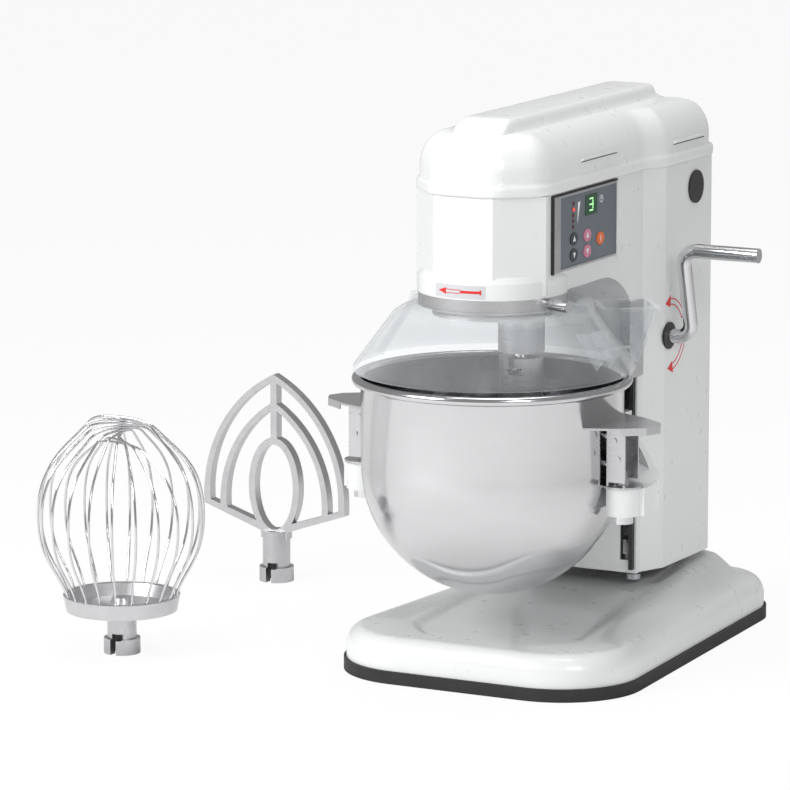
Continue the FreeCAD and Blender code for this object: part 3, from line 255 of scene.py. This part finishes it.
# Louvres: two long shallow vents pressed into each side of the cover, dark inside.
vent_dark = Finish("vent_shadow", (0.05, 0.05, 0.052), 0.6)
vent_dark.drive("Roughness", vent_dark.noise(200.0) * 0.1 + 0.5)
for side in (-1, 1):
    for vent, x, y0, y1, z in (("front", 0.0668, 0.048, 0.126, 0.4855),
                               ("rear", 0.0778, 0.226, 0.297, 0.4815)):
        slit = [(y0, z - 0.0006), (y1, z - 0.0006), (y1 - 0.003, z + 0.0008), (y0 + 0.003, z + 0.0008)]
        lip = [(y0, z + 0.0008), (y1, z + 0.0008), (y1 - 0.005, z + 0.0030), (y0 + 0.005, z + 0.0030)]
        for part_name, shape, finish, out in (("slit", slit, vent_dark, 0.0004), ("lip", lip, enamel, 0.0016)):
            base = [(side * x, y, z_at) for y, z_at in shape]
            proud = [(side * (x + out), y, z_at) for y, z_at in shape]
            vent_faces = [(0, 1, 2, 3), (7, 6, 5, 4), (0, 4, 5, 1), (1, 5, 6, 2), (2, 6, 7, 3), (3, 7, 4, 0)]
            vent_name = "vent_" + vent + "_" + part_name + ("_right" if side > 0 else "_left")
            piece(vent_name, base + proud, vent_faces, finish, slot="white_enamel", smooth=False)

# Base casting: rolled edge, round drip dish under the bowl and a mound that flares up to the column.
base_half = [(0.1525, -0.0725), (0.1218, 0.3895)]
base_outline = base_half + [(-x, y) for x, y in reversed(base_half)]
base_radii = [0.078, 0.056, 0.056, 0.078]
base_top, dish_radius, dish_y = 0.042, 0.097, 0.046


def base_height(x, y):
    outside_x = max(abs(x) - 0.079, 0.0)
    outside_y = max(0.173 - y, y - 0.321, 0.0)
    away = math.hypot(outside_x, outside_y)
    mound = 0.030 * (1 - smoothstep(-0.008, 0.040, away)) ** 1.15
    dish = 0.0045 * (1 - smoothstep(dish_radius - 0.012, dish_radius, math.hypot(x, y - dish_y)))
    return base_top + mound - dish * (1 - mound / 0.030)


points = []
base_profile = [(0.0, 0.0121), (0.0, 0.024)]
for step in range(1, 10):
    angle = math.radians(90 * step / 9)
    base_profile.append((0.016 * (1 - math.cos(angle)), 0.024 + 0.018 * math.sin(angle)))
for inset, z in base_profile:
    points += [(p.x, p.y, z) for p in corners_closed(base_outline, base_radii, inset, 16)]
ring_count = len(points) // len(base_profile)
edge = corners_closed(base_outline, base_radii, base_profile[-1][0], 16)
inner_steps = 56
for step in range(1, inner_steps + 1):
    share = step / inner_steps
    for p in edge:
        aim = Vector((0.0, min(max(p.y, 0.02), 0.30)))
        spot = p.lerp(aim, share * 0.985)
        points.append((spot.x, spot.y, base_height(spot.x, spot.y)))
faces = bridge(len(base_profile) + inner_steps, ring_count)
faces += cap(len(points) - ring_count, ring_count)
piece("base_cover", points, faces, enamel, slot="white_enamel", instead=("base_shell",))

# Rubber tray, seals and belt: matt black moulded rubber with a fine grain.
rubber = Finish("black_rubber", (0.012, 0.012, 0.013), 0.62)
rubber.tint(rubber.noise(90.0), (0.03, 0.03, 0.032))
rubber.bump(rubber.noise(1600.0), 0.0001, 0.4)
rubber.on("rubber_base_mat", "slot_seals", "drive_belt")

plastic = Finish("black_plastic", (0.02, 0.02, 0.021), 0.42)
plastic.drive("Roughness", plastic.noise(200.0) * 0.15 + 0.35)
plastic.bump(plastic.noise(1200.0), 0.00008, 0.3)
plastic.on("front_rails", "crank_bushes", "side_caps", "cable_gland")

# Bowl: spun stainless steel, bright inside and out, with the fine rings that spinning and polishing leave.
spun = Finish("spun_steel", (0.64, 0.64, 0.65), 0.2, metallic=1.0)
rings = spun.noise(1.0, 2.0, (3.0, 3.0, 1500.0))
cloud = spun.noise(22.0, 3.0, (1.0, 1.0, 2.5))
spun.drive("Roughness", rings * 0.07 + cloud * 0.07 + 0.08)
spun.bump(rings, 0.00004, 0.25)
spun.tint(cloud * 0.5, (0.54, 0.54, 0.55))
bowl_outer, bowl_wall, bowl_centre = 0.1227, 0.0015, 0.2044
rim_outer, bead, rim_top = 0.131, 0.0044, 0.289
profile = []
for step in range(41):
    angle = math.radians(90 * step / 40)
    profile.append((bowl_outer * math.sin(angle), bowl_centre - bowl_outer * math.cos(angle)))
profile.append((bowl_outer, rim_top - 2 * bead - 0.002))
for step in range(13):
    angle = math.radians(-120 + 270 * step / 12)
    profile.append((rim_outer - bead + bead * math.cos(angle), rim_top - bead + bead * math.sin(angle)))
inside = bowl_outer - bowl_wall
profile.append((inside, rim_top - bead))
for step in range(41):
    angle = math.radians(90 - 90 * step / 40)
    profile.append((inside * math.sin(angle), bowl_centre - inside * math.cos(angle)))


def lathe(name, outline, finish, start=0.0, span=360.0, closed=False, **facts):
    """Turns a list of (radius, z) about the bowl's axis; a closed outline makes a solid sector."""
    whole = span >= 360.0
    count = 144 if whole else max(int(span / 2), 8)
    turned = []
    for radius, z in outline:
        for index in range(count):
            angle = math.radians(start + span * index / (count if whole else count - 1))
            turned.append((max(radius, 0.00001) * math.cos(angle), max(radius, 0.00001) * math.sin(angle), z))
    skin = bridge(len(outline), count, whole)
    if closed:
        last = (len(outline) - 1) * count
        for index in range(count if whole else count - 1):
            after = (index + 1) % count
            skin.append((last + index, last + after, after, index))
        if not whole:
            skin.append(tuple(level * count for level in range(len(outline))))
            skin.append(tuple(level * count + count - 1 for level in reversed(range(len(outline)))))
    made = piece(name, turned, skin, finish, **facts)
    made.data.set_sharp_from_angle(angle=math.radians(35))
    return made


lathe("bowl_spun", profile, spun, body="carriage", slot="polished_steel", instead=("bowl",))

# Steel fittings: sheet brackets and handles in brushed stainless, turned parts polished.
brushed = Finish("brushed_steel", (0.60, 0.60, 0.61), 0.3, metallic=1.0)
brushed.drive("Roughness", brushed.noise(1.0, 3.0, (60.0, 60.0, 1400.0)) * 0.2 + 0.2)
brushed.bump(brushed.noise(1.0, 3.0, (60.0, 60.0, 1400.0)), 0.00005, 0.3)
brushed.on("bowl_brackets", "bowl_handles", "bracket_rivets", "guard_bracket", "steel_band", "planet_carrier",
           "tool_pod", "dough_hook", "control_bezel")
polished = Finish("polished_steel", (0.70, 0.70, 0.71), 0.14, metallic=1.0)
polished.drive("Roughness", polished.noise(120.0) * 0.14 + 0.08)
polished.tint(polished.noise(40.0) * 0.6, (0.58, 0.58, 0.60))
polished.on("crank_handle", "guide_rods", "locating_pins", "guard_pin", "tool_shaft", "main_shaft",
            "main_bearings", "pod_bearings", "whisk_wires")
zinc = Finish("zinc_steel", (0.55, 0.56, 0.57), 0.35, metallic=1.0)
zinc.tint(zinc.noise(150.0), (0.46, 0.47, 0.50))
zinc.on("base_bottom_plate", "base_screws", "housing_screws", "motor_body", "motor_pulley")
cast = Finish("cast_aluminium", (0.66, 0.66, 0.67), 0.36, metallic=1.0)
cast.drive("Roughness", cast.noise(300.0) * 0.2 + 0.26)
cast.bump(cast.noise(500.0), 0.00012, 0.5)
cast.tint(cast.noise(70.0), (0.52, 0.52, 0.53))
cast.on("whisk_hub", "flat_beater", "rod_brackets", "bearing_housing", "carriage_block", "carriage_bushes",
        "driven_pulley")
gears = Finish("gear_steel", (0.20, 0.20, 0.21), 0.4, metallic=1.0)
gears.drive("Roughness", gears.noise(250.0) * 0.2 + 0.3)
gears.on("ring_gear", "crank_pinion", "lift_rack", "planet_pinion")

# Guard: clear moulded plastic, seen mostly by its edges and the reflections on it.
clear = Finish("clear_plastic", (0.93, 0.95, 0.96), 0.06)
see_through = clear.node("ShaderNodeBsdfTransparent", Color=(0.955, 0.965, 0.97, 1.0))
facing = clear.node("ShaderNodeLayerWeight", output=1, Blend=0.35)
veil = facing ** 2.2 * 0.62 + clear.noise(30.0) * 0.03 + 0.06
clear.mix_over(veil, see_through, surface_first=False)
clear.on("feed_chute", "guard_rear", "guard_front")

# Keypad: dark brushed foil with moulded keys, a tinted display and small lamps.
foil = Finish("panel_foil", (0.19, 0.22, 0.25), 0.4, metallic=0.55)
foil.drive("Roughness", foil.noise(1.0, 2.0, (40.0, 900.0, 40.0)) * 0.2 + 0.3)
foil.on("keypad_plate")
for name, colour, nodes in (("grey_key", (0.035, 0.045, 0.055), ("speed_up_key", "speed_down_key")),
                            ("pink_key", (0.62, 0.22, 0.32), ("timer_up_key", "timer_down_key")),
                            ("orange_key", (0.80, 0.16, 0.03), ("start_stop_key",)),
                            ("green_lens", (0.015, 0.07, 0.035), ("display_lens",)),
                            ("circuit_board", (0.03, 0.15, 0.06), ("control_board",)),
                            ("lamp_plastic", (0.10, 0.02, 0.02), ("status_lights",))):
    moulded = Finish(name, colour, 0.35)
    moulded.drive("Roughness", moulded.noise(400.0) * 0.2 + 0.25)
    moulded.on(*nodes)


def flat_marks(name, polygons, x, finish, thick=0.0002, body="base", slot=None):
    """Thin raised shapes on a plane of constant x, from polygons of (y, z)."""
    points, faces = [], []
    for polygon in polygons:
        start, count = len(points), len(polygon)
        points += [(x + depth, y, z) for depth in (0.0, thick) for y, z in polygon]
        faces.append(tuple(start + k for k in reversed(range(count))))
        faces.append(tuple(start + count + k for k in range(count)))
        faces += [(start + k, start + (k + 1) % count, start + count + (k + 1) % count, start + count + k)
                  for k in range(count)]
    return piece(name, points, faces, finish, body=body, slot=slot, smooth=False)


def oblong(y0, y1, z0, z1):
    return [(y0, z0), (y1, z0), (y1, z1), (y0, z1)]


ink = Finish("white_ink", (0.85, 0.86, 0.86), 0.4)
ink.drive("Roughness", ink.noise(500.0) * 0.1 + 0.35)
plate_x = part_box("keypad_plate")[1][0]
segment = 0.0012
digit_y, digit_z, digit_w, digit_h = 0.0625, 0.4385, 0.0075, 0.0110
bars = []
for row in range(3):
    middle = digit_z + row * digit_h / 2
    bars.append(oblong(digit_y, digit_y + digit_w, middle - segment / 2, middle + segment / 2))
bars += [oblong(digit_y + digit_w - segment, digit_y + digit_w, digit_z + segment, digit_z + digit_h - segment)]
glow = Finish("display_digit", (0.35, 0.9, 0.35), 0.4)
glow.surface.inputs["Emission Color"].default_value = (0.45, 1.0, 0.40, 1.0)
glow.surface.inputs["Emission Strength"].default_value = 0.9
glow.drive("Roughness", glow.noise(300.0) * 0.1 + 0.35)
flat_marks("display_three", bars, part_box("display_lens")[1][0], glow, slot="green_lens")
for key, (y, z, way) in {"speed_up_key": (0.030, 0.416, 1), "speed_down_key": (0.030, 0.401, -1),
                         "timer_up_key": (0.058, 0.416, 1), "timer_down_key": (0.058, 0.401, -1)}.items():
    arrow = [(y - 0.0028 * way, z - 0.0022 * way), (y + 0.0028 * way, z - 0.0022 * way), (y, z + 0.0028 * way)]
    flat_marks(key + "_arrow", [arrow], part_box(key)[1][0], ink, body=key[:-4])
power_bar = oblong(0.0855, 0.0865, 0.4065, 0.4125)
flat_marks("start_stop_mark", [power_bar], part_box("start_stop_key")[1][0], ink, body="start_stop")
marks = [[(0.0375, 0.4295), (0.0385, 0.4495), (0.0435, 0.4495)]]


def round_shape(y, z, radius, step):
    turns = [math.radians(t) for t in range(0, 360, step)]
    return [(y + radius * math.cos(t), z + radius * math.sin(t)) for t in turns]


clock = round_shape(0.0885, 0.4465, 0.0036, 20)
clock_in = round_shape(0.0885, 0.4465, 0.0029, 20)
for k in range(18):
    marks.append([clock[k], clock[(k + 1) % 18], clock_in[(k + 1) % 18], clock_in[k]])
marks += [oblong(0.0882, 0.0888, 0.4465, 0.4488), oblong(0.0885, 0.0903, 0.4462, 0.4468)]
flat_marks("panel_marks", marks, plate_x, ink)
lit = Finish("lit_lamp", (0.9, 0.05, 0.03), 0.3)
lit.surface.inputs["Emission Color"].default_value = (1.0, 0.06, 0.03, 1.0)
lit.surface.inputs["Emission Strength"].default_value = 1.2
lit.drive("Roughness", lit.noise(300.0) * 0.1 + 0.25)
lamp_disc = round_shape(0.029, 0.4436, 0.0018, 30)
flat_marks("lit_lamp", [lamp_disc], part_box("status_lights")[1][0], lit, slot="lamp_plastic")
# Thin black strips along the bezel's front and top edges, where it meets the housing; the rear and bottom edges
# have none.
bezel_edges = [oblong(-0.0145, -0.012, 0.388, 0.4612), oblong(-0.012, 0.1225, 0.4597, 0.4612)]
flat_marks("bezel_edge_strips", bezel_edges, 0.067, rubber, 0.0026, slot="black_rubber")

# Direction label: a pale grey plate on the collar with a red arrow for the planet's turning direction,
# and two curved red arrows beside the crank for raising and lowering the bowl.
label = Finish("label_foil", (0.62, 0.63, 0.65), 0.35)
label.drive("Roughness", label.noise(200.0) * 0.1 + 0.3)
red = Finish("red_ink", (0.72, 0.02, 0.02), 0.4)
red.drive("Roughness", red.noise(300.0) * 0.1 + 0.35)


def wrapped(name, polygons, radius, finish, thick, middle):
    """Thin shapes from (arc length, z) polygons, laid on the collar about the azimuth middle."""
    points, faces = [], []
    for polygon in polygons:
        start, count = len(points), len(polygon)
        for depth in (0.0, thick):
            for arc, z in polygon:
                angle = math.radians(middle) + arc / radius
                points.append(((radius + depth) * math.cos(angle), (radius + depth) * math.sin(angle), z))
        faces.append(tuple(start + k for k in reversed(range(count))))
        faces.append(tuple(start + count + k for k in range(count)))
        faces += [(start + k, start + (k + 1) % count, start + count + (k + 1) % count, start + count + k)
                  for k in range(count)]
    return piece(name, points, faces, finish, smooth=False)


def strip(s0, s1, z0, z1, parts=16):
    cells = []
    for k in range(parts):
        a, b = s0 + (s1 - s0) * k / parts, s0 + (s1 - s0) * (k + 1) / parts
        cells.append([(a, z0), (b, z0), (b, z1), (a, z1)])
    return cells


wrapped("direction_plate", strip(-0.026, 0.026, 0.3696, 0.3818), 0.0700, label, 0.0003, -90)
arrow = strip(0.002, 0.021, 0.3745, 0.3769, 6) + strip(-0.013, 0.002, 0.3738, 0.3744, 5)
arrow += strip(-0.013, 0.002, 0.3770, 0.3776, 5)
arrow.append([(-0.013, 0.3726), (-0.013, 0.3788), (-0.022, 0.3757)])
arrow.append(oblong(0.021, 0.0225, 0.3735, 0.3779))
wrapped("direction_arrow", arrow, 0.0703, red, 0.0002, -90)


def arc_band(cy, cz, radius, width, first, last):
    cells = []
    for k in range(12):
        a, b = (math.radians(first + (last - first) * j / 12) for j in (k, k + 1))
        cells.append([(cy + r * math.cos(t), cz + r * math.sin(t)) for r, t in
                      ((radius, a), (radius + width, a), (radius + width, b), (radius, b))])
    return cells


def head_at(cy, cz, radius, angle, turn):
    t = math.radians(angle)
    tip = math.radians(angle + turn * 20)
    return [[(cy + (radius - 0.005) * math.cos(t), cz + (radius - 0.005) * math.sin(t)),
             (cy + (radius + 0.007) * math.cos(t), cz + (radius + 0.007) * math.sin(t)),
             (cy + (radius + 0.001) * math.cos(tip), cz + (radius + 0.001) * math.sin(tip))]]


wall_x, crank_y, crank_z = 0.078, 0.222, 0.298
turn_marks = []
for first, last, turn in ((25, 88, 1), (-15, -78, -1)):
    for radius, width, end in ((0.0290, 0.0011, last), (0.0345, 0.0011, last)):
        turn_marks += arc_band(crank_y, crank_z, radius, width, first, end)
    turn_marks += head_at(crank_y, crank_z, 0.0318, last, turn)
    turn_marks += arc_band(crank_y, crank_z, 0.0290, 0.0066, first, first + 2 * turn)
flat_marks("crank_arrows", turn_marks, wall_x, red)

# Floor, studio and camera: a pale paper sweep under soft lamps; none of it belongs to the mixer.
floor_mesh = bpy.data.meshes.new("floor")
floor_mesh.from_pydata([(-9, -9, 0), (9, -9, 0), (9, 9, 0), (-9, 9, 0)], [], [(0, 1, 2, 3)])
floor = bpy.data.objects.new("floor", floor_mesh)
bpy.context.scene.collection.objects.link(floor)
paper = Finish("paper", (0.9, 0.9, 0.9), 0.9)
bright = paper.node("ShaderNodeEmission", Color=(1, 1, 1, 1), Strength=1.0)
seen = paper.node("ShaderNodeLightPath")
paper.mix_over(seen * 0.92, bright, surface_first=True)
floor_mesh.materials.append(paper.material)

scene = bpy.context.scene
scene.view_settings.view_transform = "Standard"
world = bpy.data.worlds.new("studio")
scene.world = world
world.use_nodes = True
nodes, links = world.node_tree.nodes, world.node_tree.links
ground = nodes["Background"]
ground.inputs["Color"].default_value = (1, 1, 1, 1)
ground.inputs["Strength"].default_value = 0.34
white = nodes.new("ShaderNodeBackground")
white.inputs["Color"].default_value = (1, 1, 1, 1)
mix = nodes.new("ShaderNodeMixShader")
path = nodes.new("ShaderNodeLightPath")
links.new(path.outputs["Is Camera Ray"], mix.inputs[0])
links.new(ground.outputs[0], mix.inputs[1])
links.new(white.outputs[0], mix.inputs[2])
links.new(mix.outputs[0], nodes["World Output"].inputs[0])

for name, spot, size, watts, aim in (("key", (-1.3, -1.9, 1.7), 1.1, 52, (0, 0, 0.3)),
                                     ("fill", (1.7, -1.5, 1.3), 0.7, 14, (0, 0.1, 0.3)),
                                     ("top", (0.0, 0.2, 2.2), 1.2, 20, (0, 0.1, 0.2))):
    light = bpy.data.lights.new(name, "AREA")
    light.size = size
    light.energy = watts
    lamp = bpy.data.objects.new(name, light)
    lamp.location = spot
    lamp.rotation_euler = (Vector(aim) - Vector(spot)).to_track_quat("-Z", "Y").to_euler()
    scene.collection.objects.link(lamp)

view = bpy.data.cameras.new("view")
view.lens = 244.4
view.sensor_width = 36.0
view.clip_end = 50.0
camera = bpy.data.objects.new("view", view)
camera.location = (2.21936, -4.38341, 1.1584)
camera.rotation_euler = (math.radians(90 - 10.27), 0, math.radians(27.91))
scene.collection.objects.link(camera)
scene.camera = camera
